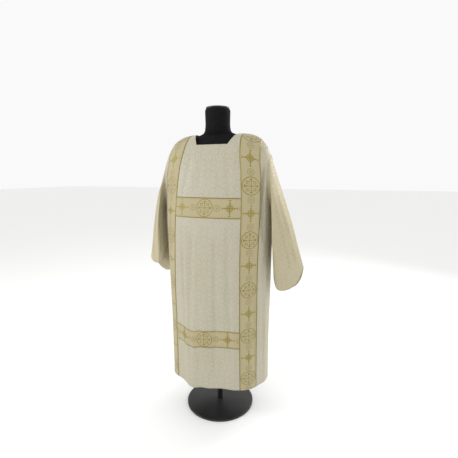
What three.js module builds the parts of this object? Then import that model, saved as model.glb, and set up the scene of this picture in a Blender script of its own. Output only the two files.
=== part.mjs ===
// A dalmatic of cream damask with woven galloon strips, worn by a limbless dress form on a round stand.
//
// Frame: millimetres, +Z up. The origin is the middle of the stand's underside. The wearer faces -Y,
// so the wearer's left side is +X. Heights on the garment are given as a drop below the shoulder top.
import * as THREE from "three";

// ---------------------------------------------------------------- driving dimensions
const SHOULDER_TOP = 1450;      // floor to the shoulder line beside the neck
const GARMENT_LENGTH = 1240;    // shoulder line to hem
const CLOTH = 2;                // wall of a damask panel
const GALLOON = 1.5;            // wall of a woven galloon strip
const GALLOON_WIDTH = 90;
const SEAM_GAP = 0.3;           // air between two pieces sewn together
const ARMHOLE_STEP = 0.25;      // each side of the armhole seam keeps this far back from it
const UNDERARM_STEP = 1.2;      // and this far at the underarm, where the walls meet back to back
const MITRE_LIMIT = 0.5;        // how sharp the two walls may meet before their corner is cut short
const SHOULDER_FADE = 284;      // the slope of the shoulder has died out this far down
const NECK_HALF_WIDTH = 71;     // half the straight front edge of the neck
const NECK_TOP_HALF_WIDTH = 109;
const NECK_FRONT_DROP = 51;
const NECK_BACK_DROP = 21;
const NECK_SIDE_DROP = 0.26;    // share of the drop that is left where the side of the neck turns up
const CHEST_BAND_DROP = 279;    // upper edge of the chest cross band
const UNDERARM_DROP = CHEST_BAND_DROP + GALLOON_WIDTH;   // the chest band ends level with the underarm
const HEM_BAND_DROP = 916;      // upper edge of the cross band near the hem

// ---------------------------------------------------------------- tables
// Height of the shoulder line, as a fall below the shoulder top, at a distance out from the neck axis.
const SHOULDER_LINE = [
  { out: 0, fall: 0 }, { out: 85, fall: 0 }, { out: 121, fall: 3 }, { out: 170, fall: 11 },
  { out: 206, fall: 28 }, { out: 226, fall: 46 }, { out: 239, fall: 64 }, { out: 254, fall: 96 },
  { out: 270, fall: 138 },
];
// Body of the garment: how deep it stands before and behind the neck axis at the centre, where its
// armhole or side seam runs, how far out the clavus starts, how round and how full the section is
// between them, and how far the middle of the cloth has slewed to the right.
const BODY = [
  { drop: 0, front: 0, back: 0, seamOut: 254, seamDepth: 0, clavusIn: 125, round: 1.00, power: 3.00, slew: 0 },
  { drop: 9, front: 31, back: 29, seamOut: 254, seamDepth: 12, clavusIn: 126, round: 1.00, power: 3.00, slew: 0 },
  { drop: 31, front: 60, back: 55, seamOut: 254, seamDepth: 28, clavusIn: 129, round: 1.05, power: 3.00, slew: 0 },
  { drop: 68, front: 86, back: 80, seamOut: 253, seamDepth: 44, clavusIn: 134, round: 1.10, power: 3.00, slew: 0 },
  { drop: 115, front: 109, back: 98, seamOut: 252, seamDepth: 54, clavusIn: 141, round: 1.15, power: 3.00, slew: 0 },
  { drop: 166, front: 122, back: 112, seamOut: 251, seamDepth: 58, clavusIn: 149, round: 1.20, power: 3.00, slew: 0 },
  { drop: 217, front: 135, back: 121, seamOut: 253, seamDepth: 55, clavusIn: 154, round: 1.25, power: 3.00, slew: 0 },
  { drop: 279, front: 147, back: 129, seamOut: 258, seamDepth: 42, clavusIn: 159, round: 1.35, power: 2.90, slew: 0 },
  { drop: 322, front: 155, back: 133, seamOut: 266, seamDepth: 23, clavusIn: 162, round: 1.60, power: 2.70, slew: 0 },
  { drop: 360, front: 163, back: 136, seamOut: 272, seamDepth: 0, clavusIn: 164, round: 1.90, power: 2.50, slew: 1 },
  { drop: 521, front: 180, back: 148, seamOut: 269, seamDepth: 0, clavusIn: 168, round: 2.00, power: 2.40, slew: 4 },
  { drop: 724, front: 192, back: 159, seamOut: 267, seamDepth: 0, clavusIn: 174, round: 2.00, power: 2.35, slew: 7 },
  { drop: 914, front: 194, back: 167, seamOut: 268, seamDepth: 0, clavusIn: 177, round: 2.00, power: 2.30, slew: 8 },
  { drop: 1241, front: 197, back: 176, seamOut: 273, seamDepth: 0, clavusIn: 184, round: 2.00, power: 2.30, slew: 9 },
];
// Soft folds of the panels: middle and half width as shares of the half panel (right side negative),
// depth (a trough is negative), and the drops at which a fold starts, is full and has died out.
const NEVER = 9999;
const FRONT_FOLDS = [
  { middle: -0.42, halfWidth: 0.2, depth: -8, start: 420, full: 1150, end: NEVER },
  { middle: -0.2, halfWidth: 0.16, depth: 8, start: 600, full: 1000, end: NEVER },
  { middle: 0.2, halfWidth: 0.22, depth: -10, start: 560, full: 1100, end: NEVER },
  { middle: 0.78, halfWidth: 0.16, depth: -9, start: 480, full: 1100, end: NEVER },
  { middle: -0.8, halfWidth: 0.18, depth: -15, start: 400, full: 760, end: NEVER },
];
const BACK_FOLDS = [
  { middle: -0.66, halfWidth: 0.17, depth: -16, start: 380, full: 1080, end: NEVER },
  { middle: -0.22, halfWidth: 0.2, depth: -19, start: 300, full: 1180, end: NEVER },
  { middle: 0.25, halfWidth: 0.18, depth: -17, start: 340, full: 1100, end: NEVER },
  { middle: 0.62, halfWidth: 0.16, depth: -13, start: 380, full: 1160, end: NEVER },
  { middle: 0.84, halfWidth: 0.2, depth: 24, start: 440, full: 700, end: 1050 },
];

// The front hangs unevenly above its hem: bumps by which it is lifted, placed as the folds are.
const FRONT_LIFTS = [
  { middle: -0.22, halfWidth: 0.2, lift: -12 },
  { middle: 0.3, halfWidth: 0.32, lift: 7 },
];
const LIFT_START = 600;
const LIFT_FULL = HEM_BAND_DROP;

// Sleeve rings after the armhole, each with four places: crest, front, inner (underarm) and back.
// out, depth (behind the neck axis is positive) and drop below the shoulder top.
const SLEEVE_RINGS = {
  upper: {
    crest: { out: 296, depth: 11, drop: 223 }, front: { out: 287, depth: -81, drop: 313 },
    inner: { out: 288, depth: 0, drop: 407 }, back: { out: 292, depth: 87, drop: 318 },
  },
  fore: {
    crest: { out: 367, depth: 27, drop: 422 }, front: { out: 308, depth: -80, drop: 492 },
    inner: { out: 289, depth: 2, drop: 492 }, back: { out: 313, depth: 87, drop: 530 },
  },
};
// A cuff also has a sag: how much fuller it is half way between its crest and its front and back.
const CUFFS = {
  left: {
    sag: { out: 10, depth: 0, drop: 22 },
    crest: { out: 427, depth: 40, drop: 608 }, front: { out: 331, depth: -55, drop: 712 },
    inner: { out: 290, depth: 2, drop: 578 }, back: { out: 333, depth: 68, drop: 738 },
  },
  right: {
    sag: { out: 6, depth: 0, drop: 8 },
    crest: { out: 427, depth: 40, drop: 614 }, front: { out: 320, depth: -59, drop: 627 },
    inner: { out: 290, depth: 2, drop: 530 }, back: { out: 331, depth: 68, drop: 703 },
  },
};
const BODY_CLEARANCE = 4;       // the sleeve hangs this far off the side of the body

// Dress form: drop below the shoulder top, half width, depth before and behind the neck axis, and how full
// the section is between them (2 is an ellipse, towards 1 it is a ridge).
const FORM = [
  { drop: 710, halfWidth: 142, front: 95, back: 91, power: 2.2 },
  { drop: 699, halfWidth: 159, front: 107, back: 101, power: 2.2 },
  { drop: 644, halfWidth: 170, front: 115, back: 110, power: 2.2 },
  { drop: 559, halfWidth: 169, front: 114, back: 108, power: 2.2 },
  { drop: 464, halfWidth: 155, front: 109, back: 95, power: 2.2 },
  { drop: 369, halfWidth: 163, front: 118, back: 98, power: 2.2 },
  { drop: 275, halfWidth: 180, front: 129, back: 108, power: 2.2 },
  { drop: 189, halfWidth: 195, front: 118, back: 102, power: 2.3 },
  { drop: 114, halfWidth: 205, front: 98, back: 86, power: 2.3 },
  { drop: 70, halfWidth: 208, front: 75, back: 67, power: 2.0 },
  { drop: 45, halfWidth: 206, front: 58, back: 54, power: 1.7 },
  { drop: 28, halfWidth: 199, front: 48, back: 46, power: 1.4 },
  { drop: 19, halfWidth: 184, front: 45, back: 44, power: 1.25 },
  { drop: 12, halfWidth: 157, front: 43, back: 43, power: 1.2 },
  { drop: 7, halfWidth: 119, front: 43, back: 44, power: 1.2 },
  { drop: 2, halfWidth: 87, front: 46, back: 48, power: 1.4 },
  { drop: -9, halfWidth: 66, front: 52, back: 54, power: 1.8 },
  { drop: -25, halfWidth: 59, front: 56, back: 57, power: 2 },
  { drop: -47, halfWidth: 57, front: 57, back: 57, power: 2 },
  { drop: -97, halfWidth: 58, front: 58, back: 58, power: 2 },
  { drop: -104, halfWidth: 55, front: 55, back: 55, power: 2 },
];
const FORM_SIDES = 32;
const NECK_CAP = { radius: 54, thickness: 8, edge: 3 };
const POLE_RADIUS = 15;
const POLE_SOCKET = { radius: 24, height: 46 };
const BASE = { radius: 190, thickness: 12, crown: 8, edge: 4 };
const ROUND_SIDES = 48;

// ---------------------------------------------------------------- finishes
const damask = () => new THREE.MeshStandardMaterial({ color: "#c9c4ad", roughness: 0.62, metalness: 0 });
const galloon = () => new THREE.MeshStandardMaterial({ color: "#b8ad7a", roughness: 0.5, metalness: 0.1 });
const jersey = () => new THREE.MeshStandardMaterial({ color: "#0c0c0d", roughness: 0.85, metalness: 0 });
const blackSteel = () => new THREE.MeshStandardMaterial({ color: "#161617", roughness: 0.4, metalness: 0.2 });

// ---------------------------------------------------------------- small helpers
/** Reads column `column` of a table at `at`, smoothly between the rows of `key`. */
function read(table, key, column, at) {
  const last = table.length - 1;
  if (at <= table[0][key]) return table[0][column];
  if (at >= table[last][key]) return table[last][column];
  let i = 0;
  while (table[i + 1][key] < at) i++;
  const [lo, hi] = [table[i], table[i + 1]];
  const span = hi[key] - lo[key];
  const chord = (hi[column] - lo[column]) / span;
  const before = i > 0 ? slope(table[i - 1], lo, key, column) : chord;
  const after = i + 1 < last ? slope(hi, table[i + 2], key, column) : chord;
  const startSlope = before * chord > 0 ? Math.sign(chord) * Math.min(Math.abs(before + chord) / 2, 3 * Math.abs(chord)) : 0;
  const endSlope = after * chord > 0 ? Math.sign(chord) * Math.min(Math.abs(after + chord) / 2, 3 * Math.abs(chord)) : 0;
  const t = (at - lo[key]) / span;
  const [t2, t3] = [t * t, t * t * t];
  return (2 * t3 - 3 * t2 + 1) * lo[column] + (t3 - 2 * t2 + t) * span * startSlope
    + (3 * t2 - 2 * t3) * hi[column] + (t3 - t2) * span * endSlope;
}

/** Slope of a column between two rows. */
function slope(lo, hi, key, column) {
  return (hi[column] - lo[column]) / (hi[key] - lo[key]);
}

/** A raised-cosine bump: 1 in its middle, 0 at its half width and beyond. */
function bump(at, middle, halfWidth) {
  const away = Math.abs(at - middle) / halfWidth;
  return away < 1 ? 0.5 + 0.5 * Math.cos(Math.PI * away) : 0;
}

/** Surface normals of a grid of points, by its neighbours along rows and columns. */
function gridNormals(grid, { wrapRows = false } = {}) {
  const rows = grid.length;
  return grid.map((row, i) => row.map((_, j) => {
    const count = row.length;
    const left = wrapRows ? row[(j + count - 1) % count] : row[Math.max(j - 1, 0)];
    const right = wrapRows ? row[(j + 1) % count] : row[Math.min(j + 1, count - 1)];
    const up = grid[Math.max(i - 1, 0)][j];
    const down = grid[Math.min(i + 1, rows - 1)][j];
    return right.clone().sub(left).cross(up.clone().sub(down)).normalize();
  }));
}

/** Moves every point of a grid along its normal. */
function offsetGrid(grid, normals, distance) {
  return grid.map((row, i) => row.map((p, j) => p.clone().addScaledVector(normals[i][j], distance)));
}

/**
 * A closed wall between two grids of the same shape. `wrap` joins the last column to the first. Cells
 * of the first `turnedRows` rows are split along their other diagonal.
 */
function wallBetween(inner, outer, { wrap = false, turnedRows = 0 } = {}) {
  const rows = inner.length;
  const columns = inner[0].length;
  const positions = [];
  for (const grid of [inner, outer]) {
    for (const row of grid) for (const p of row) positions.push(p.x, p.y, p.z);
  }
  const at = (side, i, j) => side * rows * columns + i * columns + (j % columns);
  const faces = [];
  const quad = (a, b, c, d) => faces.push(a, b, c, a, c, d);
  const spans = wrap ? columns : columns - 1;
  for (let i = 0; i < rows - 1; i++) {
    for (let j = 0; j < spans; j++) {
      for (const side of [0, 1]) {
        const [a, b, c, d] = [at(side, i, j), at(side, i + 1, j), at(side, i + 1, j + 1), at(side, i, j + 1)];
        const corners = i < turnedRows ? [b, c, d, a] : [a, b, c, d];
        if (side === 0) [corners[1], corners[3]] = [corners[3], corners[1]];
        quad(...corners);
      }
    }
  }
  for (let j = 0; j < spans; j++) {
    quad(at(0, 0, j), at(1, 0, j), at(1, 0, j + 1), at(0, 0, j + 1));
    quad(at(1, rows - 1, j), at(0, rows - 1, j), at(0, rows - 1, j + 1), at(1, rows - 1, j + 1));
  }
  if (!wrap) {
    const end = columns - 1;
    for (let i = 0; i < rows - 1; i++) {
      quad(at(1, i, 0), at(0, i, 0), at(0, i + 1, 0), at(1, i + 1, 0));
      quad(at(0, i, end), at(1, i, end), at(1, i + 1, end), at(0, i + 1, end));
    }
  }
  return facingOut(positions, faces);
}

/** A BufferGeometry of the faces, turned so that they all point out of the solid. */
function facingOut(positions, faces) {
  const p = (k) => new THREE.Vector3().fromArray(positions, 3 * k);
  let volume = 0;
  for (let k = 0; k < faces.length; k += 3) {
    volume += p(faces[k]).dot(p(faces[k + 1]).cross(p(faces[k + 2])));
  }
  const ordered = volume < 0 ? faces.slice().reverse() : faces;
  const geometry = new THREE.BufferGeometry();
  geometry.setAttribute("position", new THREE.Float32BufferAttribute(positions, 3));
  geometry.setIndex(ordered);
  geometry.computeVertexNormals();
  return geometry;
}

// ---------------------------------------------------------------- the body of the garment
/** A smooth step from 0 at `from` to 1 at `to`. */
function rise(at, from, to) {
  const t = Math.min(Math.max((at - from) / (to - from), 0), 1);
  return t * t * (3 - 2 * t);
}

/** Depth of the loose folds at a place on a panel, `share` running from -1 to 1 across it. */
function foldDepth(folds, share, drop) {
  return folds.reduce((sum, fold) => {
    const strength = rise(drop, fold.start, fold.full) * (1 - rise(drop, fold.full, fold.end));
    return sum + fold.depth * strength * bump(share, fold.middle, fold.halfWidth);
  }, 0);
}

/** How far the front is lifted at a place, `share` running from -1 to 1 across it. */
function frontLift(share, drop) {
  const strength = rise(drop, LIFT_START, LIFT_FULL);
  return FRONT_LIFTS.reduce((sum, wave) => sum + wave.lift * strength * bump(share, wave.middle, wave.halfWidth), 0);
}

/** Height of a point of the body that lies `out` from the middle and `drop` down the cloth. */
function bodyHeight(out, drop) {
  const fade = drop < SHOULDER_FADE ? (1 - drop / SHOULDER_FADE) ** 1.5 : 0;
  return SHOULDER_TOP - drop - read(SHOULDER_LINE, "out", "fall", Math.abs(out)) * fade;
}

/** One horizontal run of cloth from the centre to the seam, as a fine line with its length so far. */
function sectionLine(side, drop) {
  const steps = 160;
  const centre = read(BODY, "drop", side, drop);
  const seamOut = read(BODY, "drop", "seamOut", drop);
  const seamDepth = read(BODY, "drop", "seamDepth", drop);
  const round = read(BODY, "drop", "round", drop);
  const power = read(BODY, "drop", "power", drop);
  const line = [];
  let length = 0;
  for (let k = 0; k <= steps; k++) {
    const turn = (k / steps) * Math.PI / 2;
    const out = seamOut * Math.sin(turn) ** (2 / power);
    const depth = seamDepth + (centre - seamDepth) * Math.cos(turn) ** (2 / round);
    if (k > 0) length += Math.hypot(out - line[k - 1].out, depth - line[k - 1].depth);
    line.push({ out, depth, length });
  }
  return line;
}

/** The place at a distance `along` a section line, measured from the centre. */
function alongSection(line, along) {
  let k = 1;
  while (k < line.length - 1 && line[k].length < along) k++;
  const [lo, hi] = [line[k - 1], line[k]];
  const t = (along - lo.length) / (hi.length - lo.length);
  return { out: lo.out + t * (hi.out - lo.out), depth: lo.depth + t * (hi.depth - lo.depth) };
}

// Columns of a half panel: shares of the way from the centre to the clavus, across the clavus, and
// from the clavus to the seam. Two of the first are the corners of the neck.
const NECK_SHARE = NECK_HALF_WIDTH / BODY[0].clavusIn;
const NECK_TOP_SHARE = NECK_TOP_HALF_WIDTH / BODY[0].clavusIn;
const NECK_SIDE_SHARE = NECK_SHARE + 0.6 * (NECK_TOP_SHARE - NECK_SHARE);
const CENTRE_COLUMNS = [0, NECK_SHARE / 3, (2 * NECK_SHARE) / 3, NECK_SHARE, NECK_SIDE_SHARE, NECK_TOP_SHARE, 1];
const CLAVUS_COLUMNS = [1 / 3, 2 / 3, 1];
const OUTER_COLUMNS = [1 / 3, 2 / 3, 1];
const CLAVUS_FIRST = CENTRE_COLUMNS.length - 1;
const CLAVUS_LAST = CLAVUS_FIRST + CLAVUS_COLUMNS.length;
const HALF_COLUMNS = CLAVUS_LAST + OUTER_COLUMNS.length;

/** Distance of a column from the centre, along the cloth. */
function columnAlong(column, clavusIn, whole) {
  if (column <= CLAVUS_FIRST) return CENTRE_COLUMNS[column] * clavusIn;
  const clavusOut = clavusIn + GALLOON_WIDTH;
  if (column <= CLAVUS_LAST) return clavusIn + CLAVUS_COLUMNS[column - CLAVUS_FIRST - 1] * GALLOON_WIDTH;
  return clavusOut + OUTER_COLUMNS[column - CLAVUS_LAST - 1] * (whole - clavusOut);
}

/** How far below the shoulder line a column starts: the neck is cut out of the first columns. */
function neckDrop(side, column) {
  const depth = side === "front" ? NECK_FRONT_DROP : NECK_BACK_DROP;
  const corner = CENTRE_COLUMNS.indexOf(NECK_SHARE);
  if (column <= corner) return depth;
  return column === corner + 1 ? depth * NECK_SIDE_DROP : 0;
}

const ARMHOLE_STEPS = 9;
/** Rows of the body: close together round the armhole, then down to the hem. */
function bodyRows() {
  const rows = [];
  for (let k = 0; k <= ARMHOLE_STEPS; k++) {
    rows.push((UNDERARM_DROP * (1 - Math.cos((Math.PI * k) / ARMHOLE_STEPS))) / 2);
  }
  rows[nearestRow(rows, CHEST_BAND_DROP)] = CHEST_BAND_DROP;
  rows.push(425, 500, 580, 660, 745, 830, HEM_BAND_DROP, HEM_BAND_DROP + GALLOON_WIDTH, 1080, 1160);
  rows.push(GARMENT_LENGTH);
  return rows;
}

/** Index of the row nearest to a drop. */
function nearestRow(rows, drop) {
  return rows.reduce((best, row, k) => (Math.abs(row - drop) < Math.abs(rows[best] - drop) ? k : best), 0);
}

const ROWS = bodyRows();
const UNDERARM_ROW = ARMHOLE_STEPS;
const CHEST_ROW = nearestRow(ROWS, CHEST_BAND_DROP);
const HEM_BAND_ROW = nearestRow(ROWS, HEM_BAND_DROP);
const NECK_BLEND = ROWS[CHEST_ROW];

/** The inner skin of a body panel as a grid: rows from the shoulder down, columns from right to left. */
function panelGrid(side) {
  const forward = side === "front" ? -1 : 1;
  const folds = side === "front" ? FRONT_FOLDS : BACK_FOLDS;
  return ROWS.map((rowDrop, i) => {
    const row = [];
    for (let c = -HALF_COLUMNS; c <= HALF_COLUMNS; c++) {
      const column = Math.abs(c);
      const neck = neckDrop(side, column);
      const drop = rowDrop < NECK_BLEND ? neck + rowDrop * (1 - neck / NECK_BLEND) : rowDrop;
      const line = sectionLine(side, drop);
      const whole = line[line.length - 1].length;
      const clavusIn = read(BODY, "drop", "clavusIn", drop);
      const unslewed = Math.sign(c) * columnAlong(column, clavusIn, whole);
      const slew = read(BODY, "drop", "slew", drop) * (1 - (unslewed / whole) ** 2);
      const along = unslewed - slew;
      const place = alongSection(line, Math.abs(along));
      const share = along / whole;
      const depth = place.depth + foldDepth(folds, share, drop);
      const atSeam = column === HALF_COLUMNS || (i === 0 && neck === 0);
      const gap = atSeam && (i === 0 || i >= UNDERARM_ROW) ? SEAM_GAP / 2 : 0;
      const y = forward * Math.max(depth, gap);
      const height = bodyHeight(place.out, drop) + (side === "front" ? frontLift(share, drop) : 0);
      row.push(new THREE.Vector3(Math.sign(along) * place.out, y, height));
    }
    return row;
  });
}

/** Normals of a panel, flattened where it meets the other panel so that the two edges stand face to face. */
function panelNormals(grid, side) {
  const normals = gridNormals(grid);
  const turned = side === "front" ? 1 : -1;
  normals.forEach((row, i) => row.forEach((n, j) => {
    n.multiplyScalar(turned);
    const column = Math.abs(j - HALF_COLUMNS);
    const shoulder = i === 0 && neckDrop(side, column) === 0;
    const sideSeam = column === HALF_COLUMNS && i >= UNDERARM_ROW;
    if (shoulder || sideSeam) n.setY(0).normalize();
  }));
  return normals;
}

const front = panelGrid("front");
const back = panelGrid("back");
const frontNormals = panelNormals(front, "front");
const backNormals = panelNormals(back, "back");

/** Columns `from` to `to` of rows `first` to `last` of a grid. */
function patch(grid, first, last, from, to) {
  return grid.slice(first, last + 1).map((row) => row.slice(from, to + 1));
}

/** Points of a clavus: up the front, over the shoulder and down the back. */
function clavusGrid(sign, frontGrid, backGrid) {
  const first = sign > 0 ? HALF_COLUMNS + CLAVUS_FIRST : HALF_COLUMNS - CLAVUS_LAST;
  const pick = (grid) => grid.map((row) => row.slice(first, first + CLAVUS_COLUMNS.length + 1));
  return [...pick(frontGrid).slice(1).reverse(), ridge(pick(frontGrid)[0], pick(backGrid)[0]), ...pick(backGrid).slice(1)];
}

/** The row half way between the first rows of front and back. */
function ridge(frontRow, backRow) {
  return frontRow.map((p, k) => p.clone().add(backRow[k]).multiplyScalar(0.5));
}

/** A strip of galloon lying on a panel: the panel's points moved out past its outer skin. */
function stripOn(grid, normals, turnedRows = 0) {
  const lie = CLOTH + SEAM_GAP;
  return wallBetween(offsetGrid(grid, normals, lie), offsetGrid(grid, normals, lie + GALLOON), { turnedRows });
}

/** A clavus, the galloon strip from the front hem over the shoulder to the back hem. */
function clavus(sign) {
  const normals = clavusGrid(sign, frontNormals, backNormals);
  normals.forEach((row) => row.forEach((n) => n.normalize()));
  return stripOn(clavusGrid(sign, front, back), normals, ROWS.length - 1);
}

/** A cross band between the two clavi, on the given rows of the front. */
function crossBand(firstRow, lastRow) {
  const [from, to] = [HALF_COLUMNS - CLAVUS_FIRST, HALF_COLUMNS + CLAVUS_FIRST];
  const grid = patch(front, firstRow, lastRow, from, to).map((row) => row.map((p) => p.clone()));
  for (const row of grid) {
    const end = row.length - 1;
    row[0].addScaledVector(row[1].clone().sub(row[0]).normalize(), SEAM_GAP);
    row[end].addScaledVector(row[end - 1].clone().sub(row[end]).normalize(), SEAM_GAP);
  }
  return stripOn(grid, patch(frontNormals, firstRow, lastRow, from, to));
}

// ---------------------------------------------------------------- sleeves
/** The place on a four-point ring at an angle: 0 at the crest, a quarter turn at the front. */
function onRing(ring, sign, turn) {
  const place = ({ out, depth, drop }) => new THREE.Vector3(sign * out, depth, SHOULDER_TOP - drop);
  const [crest, fore, inner, hind] = [ring.crest, ring.front, ring.inner, ring.back].map(place);
  const middle = crest.clone().add(inner).multiplyScalar(0.5);
  const across = fore.clone().sub(hind).multiplyScalar(0.5);
  const bow = fore.clone().add(hind).multiplyScalar(0.5).sub(middle);
  const at = middle.clone().addScaledVector(crest.sub(middle), Math.cos(turn))
    .addScaledVector(across, Math.sin(turn)).addScaledVector(bow, Math.sin(turn) ** 2);
  if (ring.sag && Math.cos(turn) > 0) {
    const sag = new THREE.Vector3(sign * ring.sag.out, ring.sag.depth, -ring.sag.drop);
    at.addScaledVector(sag, Math.sin(2 * turn) ** 2);
  }
  return at;
}

/** Half width of the body at a depth and height, so that the sleeve can hang clear of it. */
function bodyOut(depth, height) {
  const drop = Math.min(SHOULDER_TOP - height, GARMENT_LENGTH);
  if (drop < UNDERARM_DROP) return 0;
  const centre = read(BODY, "drop", depth < 0 ? "front" : "back", drop);
  const share = Math.min(Math.abs(depth) / centre, 1);
  const [round, power] = ["round", "power"].map((column) => read(BODY, "drop", column, drop));
  return read(BODY, "drop", "seamOut", drop) * (1 - share ** round) ** (1 / power);
}

/** A place just off the armhole: the sleeve leaves it steeply at the crest, and outwards underneath. */
function offSeam(start, sign, turn) {
  const steep = Math.cos(turn);
  return start.clone().add(new THREE.Vector3(sign * (10 - 4 * steep), 0, -7 - 6 * steep));
}

const SLEEVE_ROWS = 13;
/** The inner skin of a sleeve as a grid of rings from the armhole to the cuff. */
function sleeveGrid(sign, cuff) {
  const armhole = armholeRing(sign, front, back);
  const paths = armhole.map((start, k) => {
    const turn = (2 * Math.PI * k) / armhole.length;
    const rings = [SLEEVE_RINGS.upper, SLEEVE_RINGS.fore, cuff];
    const stations = [start, offSeam(start, sign, turn), ...rings.map((ring) => onRing(ring, sign, turn))];
    return new THREE.CatmullRomCurve3(stations, false, "centripetal");
  });
  const grid = [];
  for (let i = 0; i < SLEEVE_ROWS; i++) {
    grid.push(paths.map((path) => {
      const p = path.getPoint(i / (SLEEVE_ROWS - 1));
      if (i > 0) {
        const clear = bodyOut(p.y, p.z) + CLOTH + BODY_CLEARANCE;
        if (sign * p.x < clear) p.x = sign * clear;
      }
      return p;
    }));
  }
  return grid;
}

/** Normals of a sleeve's grid, pointing out of it. */
function sleeveNormals(sign, grid) {
  const normals = gridNormals(grid, { wrapRows: true });
  for (const row of normals) for (const n of row) n.multiplyScalar(-sign);
  return normals;
}

/**
 * Sets the armhole edges of the panels and a sleeve face to face: both take the direction half way
 * between their own normals, made long enough to keep the wall's thickness, and both step back a
 * little from the seam.
 */
function joinAtArmhole(sign, grid, normals) {
  const column = HALF_COLUMNS + sign * HALF_COLUMNS;
  const next = column - sign;
  const count = grid[0].length;
  for (let k = 0; k < count; k++) {
    const step = k === UNDERARM_ROW ? UNDERARM_STEP : ARMHOLE_STEP;
    const behind = k > UNDERARM_ROW;
    const i = behind ? count - k : k;
    const own = normals[0][k].clone();
    const panels = k === 0 || k === UNDERARM_ROW ? [[front, frontNormals], [back, backNormals]]
      : [behind ? [back, backNormals] : [front, frontNormals]];
    const panelNormal = panels.reduce((sum, [, n]) => sum.add(n[i][column]), new THREE.Vector3()).normalize();
    const middle = own.clone().add(panelNormal).normalize();
    const mitre = middle.clone().divideScalar(Math.max(middle.dot(panelNormal), MITRE_LIMIT));
    for (const [points, n] of panels) {
      const inward = points[i][next].clone().sub(points[i][column]);
      inward.addScaledVector(middle, -inward.dot(middle)).normalize();
      points[i][column].addScaledVector(inward, step);
      n[i][column].copy(mitre);
    }
    const outward = grid[1][k].clone().sub(grid[0][k]);
    outward.addScaledVector(middle, -outward.dot(middle)).normalize();
    grid[0][k].addScaledVector(outward, step);
    normals[0][k].copy(mitre);
  }
}

/** The armhole as a ring of its panels' values: down the front edge from the crest, then up the back. */
function armholeRing(sign, frontGrid, backGrid) {
  const column = HALF_COLUMNS + sign * HALF_COLUMNS;
  const ring = [];
  for (let i = 0; i <= UNDERARM_ROW; i++) ring.push(frontGrid[i][column]);
  for (let i = UNDERARM_ROW - 1; i > 0; i--) ring.push(backGrid[i][column]);
  for (const i of [0, UNDERARM_ROW]) ring[i] = ridge([frontGrid[i][column]], [backGrid[i][column]])[0];
  return ring;
}

// ---------------------------------------------------------------- dress form and stand
/** The torso and neck of the dress form, lofted through its table and closed at both ends. */
function formTorso() {
  const positions = [];
  const faces = [];
  const rings = FORM.length;
  for (const row of FORM) {
    for (let k = 0; k < FORM_SIDES; k++) {
      const turn = (2 * Math.PI * k) / FORM_SIDES;
      const [c, s] = [Math.cos(turn), Math.sin(turn)];
      const depth = s > 0 ? row.front : row.back;
      const full = 2 / row.power;
      const out = row.halfWidth * Math.sign(c) * Math.abs(c) ** full;
      positions.push(out, -depth * Math.sign(s) * Math.abs(s) ** full, SHOULDER_TOP - row.drop);
    }
  }
  for (let i = 0; i < rings - 1; i++) {
    for (let k = 0; k < FORM_SIDES; k++) {
      const next = (k + 1) % FORM_SIDES;
      const [a, b] = [i * FORM_SIDES + k, i * FORM_SIDES + next];
      faces.push(a, b, b + FORM_SIDES, a, b + FORM_SIDES, a + FORM_SIDES);
    }
  }
  for (const [ring, ends] of [[0, [0, 2, 1]], [rings - 1, [0, 1, 2]]]) {
    for (let k = 1; k < FORM_SIDES - 1; k++) {
      const corners = [0, k, k + 1];
      faces.push(...ends.map((e) => ring * FORM_SIDES + corners[e]));
    }
  }
  return facingOut(positions, faces);
}

/** A turned piece from its radii and heights. */
function turned(profile) {
  return new THREE.LatheGeometry(profile.map(([r, h]) => new THREE.Vector2(r, h)), ROUND_SIDES).rotateX(Math.PI / 2);
}

/** The flat round cap on the neck. */
function neckCap() {
  const { radius, thickness, edge } = NECK_CAP;
  return turned([[0, 0], [radius, 0], [radius, thickness - edge], [radius - edge, thickness], [0, thickness]]);
}

/** The upright tube, with the socket collar under the torso. */
function standPole(length) {
  const { radius, height } = POLE_SOCKET;
  return turned([[0, 0], [POLE_RADIUS, 0], [POLE_RADIUS, length - height], [radius, length - height + 6], [radius, length], [0, length]]);
}

/** The round base plate, slightly crowned. */
function standBase() {
  const { radius, thickness, crown, edge } = BASE;
  return turned([[0, 0], [radius, 0], [radius, thickness - edge], [radius - edge, thickness],
    [POLE_RADIUS * 2, thickness + crown], [0, thickness + crown]]);
}

// ---------------------------------------------------------------- the object
const object = new THREE.Group();

/** Adds a named mesh at a height above the floor. */
function add(name, geometry, material, height = 0) {
  const mesh = new THREE.Mesh(geometry, material);
  mesh.name = name;
  mesh.position.set(0, 0, height);
  object.add(mesh);
}

const SIDES = [{ name: "left", sign: 1 }, { name: "right", sign: -1 }];
for (const { name, sign } of SIDES) {
  const grid = sleeveGrid(sign, CUFFS[name]);
  const normals = sleeveNormals(sign, grid);
  joinAtArmhole(sign, grid, normals);
  add(`sleeve_${name}`, wallBetween(grid, offsetGrid(grid, normals, CLOTH), { wrap: true }), damask());
}
add("front", wallBetween(front, offsetGrid(front, frontNormals, CLOTH)), damask());
add("back", wallBetween(back, offsetGrid(back, backNormals, CLOTH)), damask());
for (const { name, sign } of SIDES) add(`clavus_${name}`, clavus(sign), galloon());
add("crossband_chest", crossBand(CHEST_ROW, UNDERARM_ROW), galloon());
add("crossband_hem", crossBand(HEM_BAND_ROW, HEM_BAND_ROW + 1), galloon());

const baseTop = BASE.thickness + BASE.crown;
const poleLength = SHOULDER_TOP - FORM[0].drop - baseTop - 2 * SEAM_GAP;
add("stand_base", standBase(), blackSteel());
add("stand_pole", standPole(poleLength), blackSteel(), baseTop + SEAM_GAP);
add("form_torso", formTorso(), jersey());
add("form_neck_cap", neckCap(), blackSteel(), SHOULDER_TOP - FORM[FORM.length - 1].drop + SEAM_GAP);

export default object;
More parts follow.
